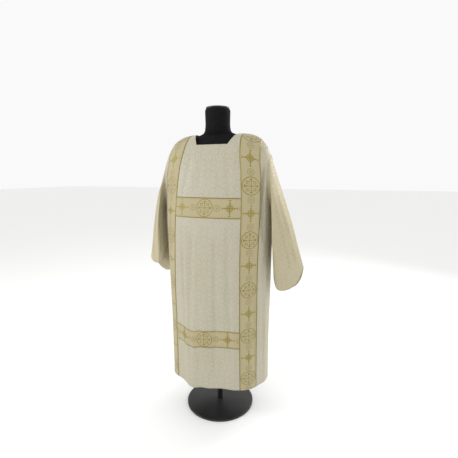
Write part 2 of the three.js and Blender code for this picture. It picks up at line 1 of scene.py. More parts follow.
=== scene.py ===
"""A dalmatic of cream damask with woven galloon strips, worn by a limbless dress form on a round stand.

Metres, +Z up. The wearer faces -Y and the wearer's left is +X. Lengths in the tables are millimetres, and
a height on the garment is given as a drop below the shoulder top.
"""
import logging
import math
from collections.abc import Sequence
from dataclasses import dataclass, field
from enum import Enum

import bmesh
import bpy
import numpy as np
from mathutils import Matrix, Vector


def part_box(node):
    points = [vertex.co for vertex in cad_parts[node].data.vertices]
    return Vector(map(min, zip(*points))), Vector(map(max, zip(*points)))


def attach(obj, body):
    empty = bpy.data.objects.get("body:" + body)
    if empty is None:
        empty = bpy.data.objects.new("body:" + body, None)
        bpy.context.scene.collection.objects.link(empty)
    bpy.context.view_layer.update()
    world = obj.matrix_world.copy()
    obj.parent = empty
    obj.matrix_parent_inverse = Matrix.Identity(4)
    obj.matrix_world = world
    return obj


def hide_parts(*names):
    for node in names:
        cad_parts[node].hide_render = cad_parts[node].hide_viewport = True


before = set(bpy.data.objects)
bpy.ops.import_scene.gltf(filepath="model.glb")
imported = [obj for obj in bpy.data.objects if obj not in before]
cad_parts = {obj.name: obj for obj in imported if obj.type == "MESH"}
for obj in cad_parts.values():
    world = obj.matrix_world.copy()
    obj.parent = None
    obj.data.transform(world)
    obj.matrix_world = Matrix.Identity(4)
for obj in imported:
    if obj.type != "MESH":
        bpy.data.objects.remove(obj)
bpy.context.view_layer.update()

log = logging.getLogger("dalmatic")
MM = 0.001              # a millimetre in metres
SHOULDER_TOP = 1450.0   # floor to the shoulder line beside the neck
GARMENT_LENGTH = 1240.0
CLOTH = 2.0             # from the inner skin of the tables to the outer skin of the damask
SHELL = 1.2             # wall of a damask piece as it is seen
GALLOON_WALL = 0.9
GALLOON_WIDTH = 90.0
SEAM_GAP = 0.3
SEAM_COLUMN = 12        # counted in the body's main columns, from its middle to the side seam
STRIP_CLEARANCE = 0.1   # a strip lies this far off the cloth that it is sewn to
SHOULDER_FADE = 284.0   # drop at which the shoulder line no longer shapes the cloth
CHEST_BAND_DROP = 279.0
UNDERARM_DROP = CHEST_BAND_DROP + GALLOON_WIDTH
HEM_BAND_DROP = 916.0
NEVER = 9999.0          # a drop past every hem, for folds that run out of it


class Side(Enum):
    """Which panel of the body: its value is the way it faces along Y."""

    FRONT = -1
    BACK = 1


class Hand(Enum):
    """Which side of the wearer: its value is the way it lies along X."""

    LEFT = 1
    RIGHT = -1

    @property
    def word(self) -> str:
        """The side's name in small letters."""
        return self.name.lower()


@dataclass(frozen=True)
class Table:
    """A short table of sizes with named columns, read smoothly between its rows."""

    columns: tuple[str, ...]
    rows: tuple[tuple[float, ...], ...]

    def read(self, column: str, at: np.ndarray) -> np.ndarray:
        """Read a column by a monotone cubic through its rows.

        Args:
            column: name of the column wanted.
            at: places on the table's first column.

        Returns:
            The column's value at each place.
        """
        table = np.array(self.rows, dtype=float)
        key, value = table[:, 0], table[:, self.columns.index(column)]
        at = np.clip(np.asarray(at, dtype=float), key[0], key[-1])
        chord = np.diff(value) / np.diff(key)
        before = np.concatenate([chord[:1], chord[:-1]])
        after = np.concatenate([chord[1:], chord[-1:]])

        def tamed(neighbour: np.ndarray) -> np.ndarray:
            """Slope at a row, kept from overshooting, and flat at a turn.

            Args:
                neighbour: slope of the chord on the row's other side.

            Returns:
                The slope.
            """
            mean = np.minimum(np.abs(neighbour + chord) / 2, 3 * np.abs(chord))
            return np.where(neighbour * chord > 0, np.sign(chord) * mean, 0)

        start, end = tamed(before), tamed(after)
        i = np.clip(np.searchsorted(key, at, side="left") - 1, 0, len(key) - 2)
        span = key[i + 1] - key[i]
        t = (at - key[i]) / span
        return ((2 * t**3 - 3 * t**2 + 1) * value[i] + (t**3 - 2 * t**2 + t) * span * start[i]
                + (3 * t**2 - 2 * t**3) * value[i + 1] + (t**3 - t**2) * span * end[i])


SHOULDER_LINE = Table(("out", "fall"), (
    (0, 0), (85, 0), (121, 3), (170, 11), (206, 28), (226, 46), (239, 64), (254, 96), (270, 138)))
BODY = Table(("drop", "front", "back", "seam_out", "seam_depth", "clavus_in", "round", "power", "slew"), (
    (0, 0, 0, 254, 0, 125, 1.00, 3.00, 0), (9, 31, 29, 254, 12, 126, 1.00, 3.00, 0),
    (31, 60, 55, 254, 28, 129, 1.05, 3.00, 0), (68, 86, 80, 253, 44, 134, 1.10, 3.00, 0),
    (115, 109, 98, 252, 54, 141, 1.15, 3.00, 0), (166, 122, 112, 251, 58, 149, 1.20, 3.00, 0),
    (217, 135, 121, 253, 55, 154, 1.25, 3.00, 0), (279, 147, 129, 258, 42, 159, 1.35, 2.90, 0),
    (322, 155, 133, 266, 23, 162, 1.60, 2.70, 0), (360, 163, 136, 272, 0, 164, 1.90, 2.50, 1),
    (521, 180, 148, 269, 0, 168, 2.00, 2.40, 4), (724, 192, 159, 267, 0, 174, 2.00, 2.35, 7),
    (914, 194, 167, 268, 0, 177, 2.00, 2.30, 8), (1241, 197, 176, 273, 0, 184, 2.00, 2.30, 9)))
FORM = Table(("height", "half_width", "front", "back", "power"), tuple(
    (-drop, *sizes) for drop, *sizes in (
        (710, 142, 95, 91, 2.2), (699, 159, 107, 101, 2.2), (644, 170, 115, 110, 2.2),
        (559, 169, 114, 108, 2.2), (464, 155, 109, 95, 2.2), (369, 163, 118, 98, 2.2),
        (275, 180, 129, 108, 2.2), (189, 195, 118, 102, 2.3), (114, 205, 98, 86, 2.3),
        (70, 208, 75, 67, 2.0), (45, 206, 58, 54, 1.7), (28, 199, 48, 46, 1.4), (19, 184, 45, 44, 1.25),
        (12, 157, 43, 43, 1.2), (7, 119, 43, 44, 1.2), (2, 87, 46, 48, 1.4), (-9, 66, 52, 54, 1.8),
        (-25, 59, 56, 57, 2.0), (-47, 57, 57, 57, 2.0), (-97, 58, 58, 58, 2.0), (-104, 55, 55, 55, 2.0))))


@dataclass(frozen=True)
class Fold:
    """A broad fold of a panel, placed by shares of the half panel (the right side is negative)."""

    middle: float
    half_width: float
    depth: float
    start: float
    full: float
    end: float = NEVER

    def lift(self, share: np.ndarray, drop: np.ndarray) -> np.ndarray:
        """How far the fold stands out, below zero where it is a trough.

        Args:
            share: places across the half panel, from -1 to 1.
            drop: places down the panel.

        Returns:
            The lift at each place.
        """
        strength = rise(drop, self.start, self.full) * (1 - rise(drop, self.full, self.end))
        return self.depth * strength * bump((share - self.middle) / self.half_width)


@dataclass(frozen=True)
class Crease:
    """A soft trough or ridge along a bowed line on the cloth, tapering out at both ends.

    Places are distances on the cloth in millimetres: across from its middle, and down it.
    """

    start: tuple[float, float]
    end: tuple[float, float]
    half_width: float
    depth: float
    bow: float = 0.0

    def lift(self, across: np.ndarray, down: np.ndarray) -> np.ndarray:
        """How far the cloth stands out, below zero where it is a trough.

        Args:
            across: places across the cloth.
            down: places down it.

        Returns:
            The lift at each place.
        """
        (a0, d0), (a1, d1) = self.start, self.end
        length = math.hypot(a1 - a0, d1 - d0)
        along_a, along_d = (a1 - a0) / length, (d1 - d0) / length
        t = ((across - a0) * along_a + (down - d0) * along_d) / length
        off = (across - a0) * -along_d + (down - d0) * along_a
        inside = np.clip(t, 0, 1)
        off = off - self.bow * 4 * inside * (1 - inside)
        taper = np.sin(np.pi * inside) ** 0.7
        return self.depth * taper * bump(off / self.half_width)


FOLDS = {
    Side.FRONT: (Fold(-0.42, 0.2, -8, 420, 1150), Fold(-0.2, 0.16, 8, 600, 1000),
                 Fold(0.2, 0.22, -10, 560, 1100), Fold(0.78, 0.16, -9, 480, 1100),
                 Fold(-0.8, 0.18, -15, 400, 760)),
    Side.BACK: (Fold(-0.66, 0.17, -16, 380, 1080), Fold(-0.22, 0.2, -19, 300, 1180),
                Fold(0.25, 0.18, -17, 340, 1100), Fold(0.62, 0.16, -13, 380, 1160),
                Fold(0.84, 0.2, 24, 440, 700, 1050)),
}
# The front hangs unevenly above its hem. Middle and half width of each bump that lifts it, as shares of
# the half panel, and the lift.
FRONT_LIFTS = ((-0.22, 0.2, -12.0), (0.3, 0.32, 7.0))
LIFT_START = 600.0
CREASES = {
    Side.FRONT: (
        Crease((247, 96), (284, 480), 15, -20, 6), Crease((-248, 80), (-286, 450), 15, -14, -5),
        Crease((82, 66), (118, 300), 24, -3.5, 6), Crease((-92, 70), (-128, 290), 22, -3, -5),
        Crease((40, 90), (70, 270), 18, -1.6), Crease((-30, 120), (-55, 275), 20, -1.5),
        Crease((-62, 380), (-84, 1235), 26, -7, 9), Crease((52, 400), (38, 1238), 22, -6, -8),
        Crease((112, 380), (132, 1100), 20, -6, 6), Crease((-122, 420), (-112, 980), 18, -5),
        Crease((0, 620), (-14, 1239), 18, 3), Crease((240, 460), (262, 1239), 19, -7, 7),
        Crease((-240, 430), (-262, 1239), 20, -8, -9), Crease((296, 520), (320, 1235), 18, -6),
        Crease((-306, 520), (-326, 1200), 17, -5),
    ),
    Side.BACK: (
        Crease((255, 90), (290, 420), 17, -9, 5), Crease((-255, 90), (-288, 420), 17, -10, -5),
        Crease((60, 60), (104, 330), 24, -4, 7), Crease((-64, 60), (-100, 320), 24, -4, -6),
        Crease((0, 60), (6, 420), 26, -3), Crease((-52, 400), (-70, 1236), 24, -7, 8),
        Crease((60, 420), (76, 1238), 22, -6, -8), Crease((130, 460), (140, 1200), 20, -5),
        Crease((-134, 430), (-150, 1230), 21, -6), Crease((4, 520), (-6, 1238), 20, 4),
        Crease((232, 500), (250, 1238), 20, -7), Crease((-236, 470), (-250, 1238), 20, -7),
    ),
}
# The places that a sleeve's rings pass through: distance out, depth behind the neck, and drop.
SLEEVE_RINGS = {
    "upper": {"crest": (296, 11, 223), "front": (287, -81, 313), "inner": (288, 0, 407),
              "back": (292, 87, 318)},
    "fore": {"crest": (367, 27, 422), "front": (308, -80, 492), "inner": (289, 2, 492),
             "back": (313, 87, 530)},
}
# The cuffs sag between those places by as much again.
CUFFS = {
    Hand.LEFT: {"sag": (10, 0, 22), "crest": (427, 40, 608), "front": (331, -55, 712), "inner": (290, 2, 578),
                "back": (333, 68, 738)},
    Hand.RIGHT: {"sag": (6, 0, 8), "crest": (427, 40, 614), "front": (320, -59, 627), "inner": (290, 2, 530),
                 "back": (331, 68, 703)},
}
# Across is measured round the sleeve from its crest, towards the front; down is measured from the seam.
SLEEVE_CREASES = {
    Hand.LEFT: (
        Crease((150, 40), (120, 500), 19, -13, 8), Crease((92, 120), (84, 600), 20, -10, -5),
        Crease((120, 150), (104, 580), 13, 6, 4), Crease((196, 60), (182, 470), 16, -8, 6),
        Crease((44, 170), (50, 600), 22, 7, 5), Crease((-100, 60), (-92, 520), 18, -11, -6),
        Crease((-160, 80), (-150, 520), 16, -8), Crease((-46, 160), (-52, 560), 18, -6),
        Crease((14, 60), (8, 420), 18, -4),
    ),
    Hand.RIGHT: (
        Crease((146, 40), (126, 440), 18, -12, 7), Crease((90, 110), (84, 520), 19, -9, -5),
        Crease((190, 60), (176, 420), 16, -8, 5), Crease((46, 180), (52, 560), 20, 6),
        Crease((-104, 60), (-90, 520), 18, -9, -6), Crease((-158, 80), (-150, 500), 16, -7),
        Crease((-48, 160), (-54, 540), 16, -4), Crease((18, 70), (12, 320), 18, -2.5),
    ),
}


def rise(at: np.ndarray, start: float, end: float) -> np.ndarray:
    """A smooth step from 0 to 1.

    Args:
        at: where it is wanted.
        start: where the step begins.
        end: where it is over.

    Returns:
        Its value at each place.
    """
    t = np.clip((at - start) / (end - start), 0, 1)
    return t * t * (3 - 2 * t)


def bump(away: np.ndarray) -> np.ndarray:
    """A raised cosine: 1 in its middle, 0 at one half width and beyond."""
    return np.where(np.abs(away) < 1, 0.5 + 0.5 * np.cos(np.pi * np.clip(away, -1, 1)), 0)


def unit(vectors: np.ndarray) -> np.ndarray:
    """The vectors made one long."""
    return vectors / np.maximum(np.linalg.norm(vectors, axis=-1, keepdims=True), 1e-9)


def skin_normals(points: np.ndarray, turned: int, closed: bool = False) -> np.ndarray:
    """Normals of a grid of points from its neighbours.

    Args:
        points: grid of places, rows down the cloth.
        turned: 1 or -1, which way the skin faces.
        closed: whether the last column meets the first.

    Returns:
        One unit vector for each point.
    """
    if closed:
        across = np.roll(points, -1, axis=1) - np.roll(points, 1, axis=1)
    else:
        across = np.gradient(points, axis=1)
    down = np.gradient(points, axis=0)
    return unit(np.cross(across, down)) * turned


def run_length(points: np.ndarray, axis: int) -> np.ndarray:
    """Length along a grid's lines from their first point.

    Args:
        points: grid of places.
        axis: 0 down the grid, 1 across it.

    Returns:
        The length at each point.
    """
    steps = np.linalg.norm(np.diff(points, axis=axis), axis=-1)
    zero = np.zeros_like(np.take(steps, [0], axis=axis))
    return np.concatenate([zero, np.cumsum(steps, axis=axis)], axis=axis)


def divided(knots: Sequence[float], step: float, least: int) -> np.ndarray:
    """Fractional places along a list of knots, each span cut into pieces of about one step.

    Args:
        knots: increasing values.
        step: the length of a piece.
        least: the fewest pieces in a span.

    Returns:
        Places counted in knots, from 0 to the last one.
    """
    places = [0.0]
    for i, (low, high) in enumerate(zip(knots, knots[1:])):
        pieces = max(least, round((high - low) / step))
        places += [i + (k + 1) / pieces for k in range(pieces)]
    return np.array(places)


def lay_shell(name: str, points: np.ndarray, normals: np.ndarray, wall: float, cloth: np.ndarray,
              closed: bool = False) -> bpy.types.Object:
    """Make a thin shell of cloth from its outer skin, laid as a grid and given its wall inwards.

    Args:
        name: the piece's name.
        points: outer skin, a grid of places in millimetres.
        normals: which way is out at each place.
        wall: thickness of the cloth in millimetres.
        cloth: place of each point on the flat cloth, across and down, in millimetres.
        closed: whether the last column meets the first, as round a sleeve.

    Returns:
        The piece.
    """
    rows, columns = points.shape[:2]
    mesh = bmesh.new()
    weave = mesh.loops.layers.uv.new("Weave")
    laid = bmesh.ops.create_grid(mesh, x_segments=columns - 1, y_segments=rows - 1, size=1.0)["verts"]
    mesh.verts.index_update()
    places, flat = (points.reshape(-1, 3) * MM).tolist(), (cloth.reshape(-1, 2) * MM).tolist()
    for vert, place in zip(laid, places):
        vert.co = place
    for face in mesh.faces:
        face.smooth = True
        for loop in face.loops:
            loop[weave].uv = flat[loop.vert.index]
    mesh.normal_update()
    outward = normals.reshape(-1, 3)
    facing = sum(vert.normal.dot(outward[k]) for k, vert in enumerate(laid))
    if facing < 0:
        bmesh.ops.reverse_faces(mesh, faces=mesh.faces)
    if closed:
        ends = [laid[i * columns + j] for i in range(rows) for j in (0, columns - 1)]
        bmesh.ops.remove_doubles(mesh, verts=ends, dist=1e-6)
    piece = finished(name, mesh)
    shell = piece.modifiers.new("wall", "SOLIDIFY")
    shell.thickness, shell.offset, shell.use_rim = wall * MM, -1.0, True
    return piece


def finished(name: str, mesh: bmesh.types.BMesh) -> bpy.types.Object:
    """Turn a bmesh into an object at the origin.

    Args:
        name: the piece's name.
        mesh: its shape, which is freed.

    Returns:
        The piece.
    """
    data = bpy.data.meshes.new(name)
    mesh.to_mesh(data)
    mesh.free()
    piece = bpy.data.objects.new(name, data)
    bpy.context.scene.collection.objects.link(piece)
    return piece


def declare(piece: bpy.types.Object, node: str, material: bpy.types.Material) -> None:
    """Dress a piece, say which body it rides on, and hide the solid that it stands for.

    Args:
        piece: the finished piece.
        node: the solid that it replaces.
        material: the piece's finish.
    """
    piece.data.materials.clear()
    piece.data.materials.append(material)
    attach(piece, "root")
    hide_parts(node)
    log.info("%s: %d faces in %s", piece.name, len(piece.data.polygons), material.name)


# ---------------------------------------------------------------- finishes
def linear(colour: str) -> tuple[float, float, float, float]:
    """Turn a colour to the linear values that the shader takes.

    Args:
        colour: sRGB hex value.

    Returns:
        Red, green, blue and an alpha of 1.
    """
    channels = [int(colour[k:k + 2], 16) / 255 for k in (1, 3, 5)]
    return (*(c / 12.92 if c <= 0.04045 else ((c + 0.055) / 1.055) ** 2.4 for c in channels), 1.0)


class Recipe:
    """A material's node tree, filled one node at a time."""

    def __init__(self, name: str) -> None:
        """Start an empty material with its shader and output.

        Args:
            name: what the real material is and how it was made.
        """
        self.material = bpy.data.materials.new(name)
        self.material.use_nodes = True
        self.tree = self.material.node_tree
        self.shader = self.tree.nodes["Principled BSDF"]

    def add(self, kind: str, *inputs: object, out: int | str = 0, **settings: object) -> bpy.types.NodeSocket:
        """Add one node with its settings and links.

        Args:
            kind: the shader node's type without its first word, or a sum's operation in capitals.
            inputs: a value or a socket for each input in order, None to leave one alone.
            out: which output is wanted.
            settings: properties of the node, or with a capital first letter its inputs by name.

        Returns:
            The wanted output.
        """
        node = self.tree.nodes.new("ShaderNodeMath" if kind.isupper() else f"ShaderNode{kind}")
        if kind.isupper():
            node.operation = kind
        for key, value in settings.items():
            if key[0].islower():
                setattr(node, key, value)
        pairs = list(zip(node.inputs, inputs))
        pairs += [(node.inputs[key.replace("_", " ")], v) for key, v in settings.items() if key[0].isupper()]
        for socket, value in pairs:
            if isinstance(value, bpy.types.NodeSocket):
                self.tree.links.new(value, socket)
            elif value is not None:
                socket.default_value = value
        return node.outputs[out]

    def set(self, **values: object) -> None:
        """Set or link the shader's own inputs.

        Args:
            values: a value or a socket for each input, by name.
        """
        for key, value in values.items():
            socket = self.shader.inputs[key.replace("_", " ")]
            if isinstance(value, bpy.types.NodeSocket):
                self.tree.links.new(value, socket)
            else:
                socket.default_value = value

    def inside(self, distance: bpy.types.NodeSocket, edge: float, soft: float = 0.5) -> bpy.types.NodeSocket:
        """1 where a distance is under an edge and 0 past it, with a soft change between."""
        return self.add("MapRange", distance, edge - soft, edge + soft, 1.0, 0.0)

    def stroke(self, distance: bpy.types.NodeSocket, middle: float, half: float) -> bpy.types.NodeSocket:
        """A line of thread: 1 where a distance is near its middle."""
        return self.inside(self.add("ABSOLUTE", self.add("SUBTRACT", distance, middle)), half)

    def leaf(self, x: bpy.types.NodeSocket, y: bpy.types.NodeSocket, place: tuple[float, float],
             size: tuple[float, float]) -> bpy.types.NodeSocket:
        """An oval figure.

        Args:
            x: distance across the cloth.
            y: distance along it.
            place: the oval's middle in millimetres.
            size: its half sizes in millimetres.

        Returns:
            The figure's mask.
        """
        across = self.add("DIVIDE", self.add("SUBTRACT", x, place[0]), size[0])
        along = self.add("DIVIDE", self.add("SUBTRACT", y, place[1]), size[1])
        far = self.add("SQRT", self.add("ADD", self.add("MULTIPLY", across, across),
                                        self.add("MULTIPLY", along, along)))
        return self.inside(far, 1.0, 0.12)

    def most(self, *masks: bpy.types.NodeSocket) -> bpy.types.NodeSocket:
        """Join several masks.

        Args:
            masks: the masks, 1 inside and 0 outside.

        Returns:
            A mask that is 1 where any of them is.
        """
        top = masks[0]
        for mask in masks[1:]:
            top = self.add("MAXIMUM", top, mask)
        return top

    def millimetres(self) -> tuple[bpy.types.NodeSocket, bpy.types.NodeSocket]:
        """Find the place on the flat cloth.

        Returns:
            Millimetres across and down.
        """
        weave = self.add("UVMap", uv_map="Weave")
        scaled = self.add("VectorMath", weave, (1000, 1000, 1000), operation="MULTIPLY")
        parts = self.tree.nodes.new("ShaderNodeSeparateXYZ")
        self.tree.links.new(scaled, parts.inputs[0])
        return parts.outputs[0], parts.outputs[1]


@dataclass(frozen=True)
class DamaskFinish:
    """Satin damask, woven cream on cream: figures in long floats shine over a duller ground."""

    name: str = "Damask, satin-woven viscose"
    ground: str = "#A8A494"
    figure: str = "#B8B5A6"
    shade: str = "#A29D87"
    gilt: str = "#B59D5E"
    repeat_across: float = 112.0    # mm from one rosette to the next
    repeat_down: float = 150.0
    sway: float = 9.0               # mm that the drawing's curves wander
    trellis_wave: float = 37.4      # mm from wave to wave of the line that frames the rosettes
    trellis_bend: float = 0.12      # how far it waves, as a share of half a repeat
    rib: float = 2.6                # real threads are 0.3 mm apart; drawn as coarse as they need to show

    def make(self) -> bpy.types.Material:
        """Build the material.

        Returns:
            The material.
        """
        r = Recipe(self.name)
        across, down = r.millimetres()
        wander = r.add("TexNoise", Scale=14.0, Detail=1.0, Vector=r.add("UVMap", uv_map="Weave"))
        swayed = r.add("MULTIPLY", r.add("SUBTRACT", wander, 0.5), self.sway)
        half_a, half_d = self.repeat_across / 2, self.repeat_down / 2
        p = r.add("PINGPONG", r.add("ADD", across, swayed), half_a)
        q = r.add("PINGPONG", r.add("SUBTRACT", down, swayed), half_d)
        diagonal = r.add("ADD", r.add("DIVIDE", p, half_a), r.add("DIVIDE", q, half_d))
        second = r.add("GREATER_THAN", diagonal, 1.0)
        x = r.add("ABSOLUTE", r.add("SUBTRACT", p, r.add("MULTIPLY", second, half_a)))
        y = r.add("ABSOLUTE", r.add("SUBTRACT", q, r.add("MULTIPLY", second, half_d)))
        slant = r.add("DIVIDE", r.add("ADD", x, y), math.sqrt(2))
        level = r.add("DIVIDE", r.add("SUBTRACT", x, y), math.sqrt(2))
        reach = r.add("SQRT", r.add("ADD", r.add("MULTIPLY", x, x), r.add("MULTIPLY", y, y)))
        wave = r.add("SINE", r.add("MULTIPLY", q, 2 * math.pi / self.trellis_wave))
        trellis = r.add("ADD", diagonal, r.add("MULTIPLY", self.trellis_bend, wave))
        # Upright, level and slanting leaves round a rosette, each with its place and half sizes.
        straight = (((0, 10.5), (3.0, 5.2)), ((9, 0), (4.6, 2.8)), ((7, 29), (3.4, 7.0)),
                    ((30, 7), (6.5, 3.4)), ((0, 40), (3.2, 9.0)), ((44, 0), (7.5, 2.6)))
        slanting = (((10, 0), (4.4, 2.2)), ((28.5, 5.5), (7.0, 2.8)), ((38, -8), (5.0, 3.0)))
        figures = r.most(
            r.inside(reach, 3.6), r.stroke(reach, 20.5, 1.3), r.stroke(trellis, 1.0, 0.03),
            *(r.leaf(x, y, place, size) for place, size in straight),
            *(r.leaf(slant, level, place, size) for place, size in slanting))
        cloudy = r.add("TexNoise", Scale=3.2, Detail=3.0, Vector=r.add("TexCoord", out="Object"))
        ground = r.add("MixRGB", r.inside(cloudy, 0.5, 0.16), linear(self.ground), linear(self.shade))
        weft = r.add("SINE", r.add("MULTIPLY", down, 2 * math.pi / self.rib))
        warp = r.add("SINE", r.add("MULTIPLY", across, 2 * math.pi / self.rib))
        threads = r.add("MULTIPLY", weft, warp)
        fine = r.add("TexNoise", Scale=420.0, Detail=2.0, Vector=r.add("UVMap", uv_map="Weave"))
        fleck = r.inside(r.add("SUBTRACT", 1.0, fine), 0.40, 0.04)
        colour = r.add("MixRGB", r.add("MULTIPLY", figures, 0.55), ground, linear(self.figure))
        colour = r.add("MixRGB", r.add("MULTIPLY", fleck, 0.35), colour, linear(self.gilt))
        roughness = r.add("MapRange", figures, 0.0, 1.0, 0.66, 0.48)
        height = r.add("ADD", r.add("MULTIPLY", threads, 0.12), r.add("MULTIPLY", figures, 0.25))
        bumped = r.add("Bump", Strength=0.5, Distance=0.0006, Height=height, out="Normal")
        r.set(Base_Color=colour, Roughness=roughness, Normal=bumped, Sheen_Weight=0.25, Sheen_Roughness=0.45,
              Sheen_Tint=linear("#E9D9A8"), IOR=1.5)
        return r.material


@dataclass(frozen=True)
class GalloonFinish:
    """Woven galloon: gold thread figures on a ribbed cream ground, with a gold line at each edge."""

    name: str = "Galloon, jacquard-woven with gilt thread"
    ground: str = "#A79D7B"
    gold: str = "#7F6F26"
    pale_gold: str = "#978840"
    shadow: str = "#8C7C40"
    edge_line: float = 4.2          # mm that the gold line is wide at each edge
    half_repeat: float = 118.25     # mm from a roundel to the next cross
    rib: float = 2.4                # real ribs are 0.6 mm apart; drawn as coarse as they need to show

    def make(self) -> bpy.types.Material:
        """Build the material.

        Returns:
            The material.
        """
        r = Recipe(self.name)
        across, along = r.millimetres()
        x = r.add("ABSOLUTE", across)
        from_roundel = r.add("PINGPONG", along, self.half_repeat)
        from_circle = r.add("ABSOLUTE", r.add("SUBTRACT", from_roundel, self.half_repeat / 2))
        from_cross = r.add("SUBTRACT", self.half_repeat, from_roundel)
        from_edge = r.add("SUBTRACT", GALLOON_WIDTH / 2, x)
        gold = r.most(*self.roundel(r, x, from_roundel), *self.circle(r, x, from_circle),
                      *self.cross(r, x, from_cross), r.inside(from_edge, self.edge_line))
        pale = r.most(r.inside(self.reach(r, x, from_cross), 14.5), r.stroke(x, 37.6, 0.5))
        noise = r.add("TexNoise", Scale=300.0, Detail=2.0, Vector=r.add("UVMap", uv_map="Weave"))
        ribs = r.add("SINE", r.add("MULTIPLY", along, 2 * math.pi / self.rib))
        colour = r.add("MixRGB", r.add("MULTIPLY", pale, 0.7), linear(self.ground), linear(self.pale_gold))
        colour = r.add("MixRGB", r.add("MULTIPLY", gold, 0.92), colour, linear(self.gold))
        colour = r.add("MixRGB", r.add("MULTIPLY", noise, 0.22), colour, linear(self.shadow))
        metal = r.add("MULTIPLY", r.most(gold, r.add("MULTIPLY", pale, 0.6)), 0.45)
        height = r.add("ADD", r.add("MULTIPLY", ribs, 0.25), r.add("MULTIPLY", gold, 0.7))
        bumped = r.add("Bump", Strength=0.6, Distance=0.0005, Height=height, out="Normal")
        r.set(Base_Color=colour, Metallic=metal, Roughness=r.add("MapRange", gold, 0.0, 1.0, 0.62, 0.42),
              Normal=bumped, Sheen_Weight=0.15, IOR=1.5)
        return r.material

    def reach(self, r: Recipe, x: bpy.types.NodeSocket, y: bpy.types.NodeSocket) -> bpy.types.NodeSocket:
        """Distance from a figure's middle."""
        return r.add("SQRT", r.add("ADD", r.add("MULTIPLY", x, x), r.add("MULTIPLY", y, y)))

    def arms(self, r: Recipe, x: bpy.types.NodeSocket,
             y: bpy.types.NodeSocket) -> tuple[bpy.types.NodeSocket, bpy.types.NodeSocket]:
        """How far out along the nearest arm of an upright cross a place is, and how far off it."""
        return r.add("MAXIMUM", x, y), r.add("MINIMUM", x, y)

    def roundel(self, r: Recipe, x: bpy.types.NodeSocket,
                y: bpy.types.NodeSocket) -> list[bpy.types.NodeSocket]:
        """A ring nearly as wide as the strip round a wheel of flared arms and small leaves.

        Args:
            r: the recipe that it is added to.
            x: distance from its middle across the strip.
            y: distance from its middle along the strip.

        Returns:
            The masks that make it.
        """
        reach = self.reach(r, x, y)
        out, off = self.arms(r, x, y)
        arm_length, arm_half, arm_flare = 31.0, 1.3, 7.0
        widened = r.add("MULTIPLY", r.add("POWER", r.add("DIVIDE", out, arm_length), 5.0), arm_flare)
        arm = r.inside(r.add("SUBTRACT", off, r.add("ADD", arm_half, widened)), 0.0, 0.4)
        arm = r.add("MULTIPLY", arm, r.inside(out, arm_length))
        slant = r.add("DIVIDE", r.add("ADD", x, y), math.sqrt(2))
        level = r.add("DIVIDE", r.add("ABSOLUTE", r.add("SUBTRACT", x, y)), math.sqrt(2))
        leaves = (((25, 0), (3.4, 2.6)), ((20.5, 6.6), (4.6, 1.7)), ((12.5, 0), (4.5, 1.1)))
        return [r.stroke(reach, 38.3, 1.8), arm, r.inside(reach, 3.6),
                *(r.leaf(slant, level, place, size) for place, size in leaves),
                r.stroke(self.reach(r, r.add("SUBTRACT", slant, 24.5), level), 6.2, 0.5)]

    def circle(self, r: Recipe, x: bpy.types.NodeSocket,
               y: bpy.types.NodeSocket) -> list[bpy.types.NodeSocket]:
        """Two thin rings round a dot."""
        reach = self.reach(r, x, y)
        return [r.stroke(reach, 14.6, 0.9), r.stroke(reach, 8.6, 0.7), r.inside(reach, 3.2)]

    def cross(self, r: Recipe, x: bpy.types.NodeSocket,
              y: bpy.types.NodeSocket) -> list[bpy.types.NodeSocket]:
        """A disc with four short stems, each ending in a small bar.

        Args:
            r: the recipe that it is added to.
            x: distance from its middle across the strip.
            y: distance from its middle along the strip.

        Returns:
            The masks that make it.
        """
        reach = self.reach(r, x, y)
        out, off = self.arms(r, x, y)
        stem = r.add("MULTIPLY", r.inside(off, 1.5, 0.4), r.inside(out, 36.0))
        bar = r.add("MULTIPLY", r.stroke(out, 34.5, 1.7), r.inside(off, 5.2))
        knob = r.leaf(out, off, (21.0, 0), (3.6, 3.8))
        return [r.stroke(reach, 14.6, 1.4), stem, bar, knob, r.stroke(reach, 6.5, 0.9)]


@dataclass(frozen=True)
class JerseyFinish:
    """Fine cotton jersey stretched over a smooth form: dull black with a faint knit."""

    name: str = "Jersey, knitted cotton"
    colour: str = "#060606"
    fuzz_colour: str = "#0E0E0F"
    ridge: float = 11.31            # mm from ridge to ridge; real wales, 1 mm apart, are too fine to show

    def make(self) -> bpy.types.Material:
        """Build the material.

        Returns:
            The material.
        """
        r = Recipe(self.name)
        place = r.add("TexCoord", out="Object")
        # At a scale of 1 the wave texture turns through 20 radians in a metre.
        waves = 2 * math.pi / (self.ridge * MM) / 20
        knit = r.add("TexWave", Vector=place, Scale=waves, Distortion=1.5, Detail=2.0)
        fuzz = r.add("TexNoise", Vector=place, Scale=60.0, Detail=4.0)
        colour = r.add("MixRGB", r.add("MULTIPLY", fuzz, 0.6), linear(self.colour), linear(self.fuzz_colour))
        height = r.add("ADD", r.add("MULTIPLY", knit, 0.6), r.add("MULTIPLY", fuzz, 0.5))
        bumped = r.add("Bump", Strength=0.35, Distance=0.0006, Height=height, out="Normal")
        r.set(Base_Color=colour, Roughness=r.add("MapRange", fuzz, 0.0, 1.0, 0.95, 0.8), Normal=bumped,
              Specular_IOR_Level=0.2)
        return r.material


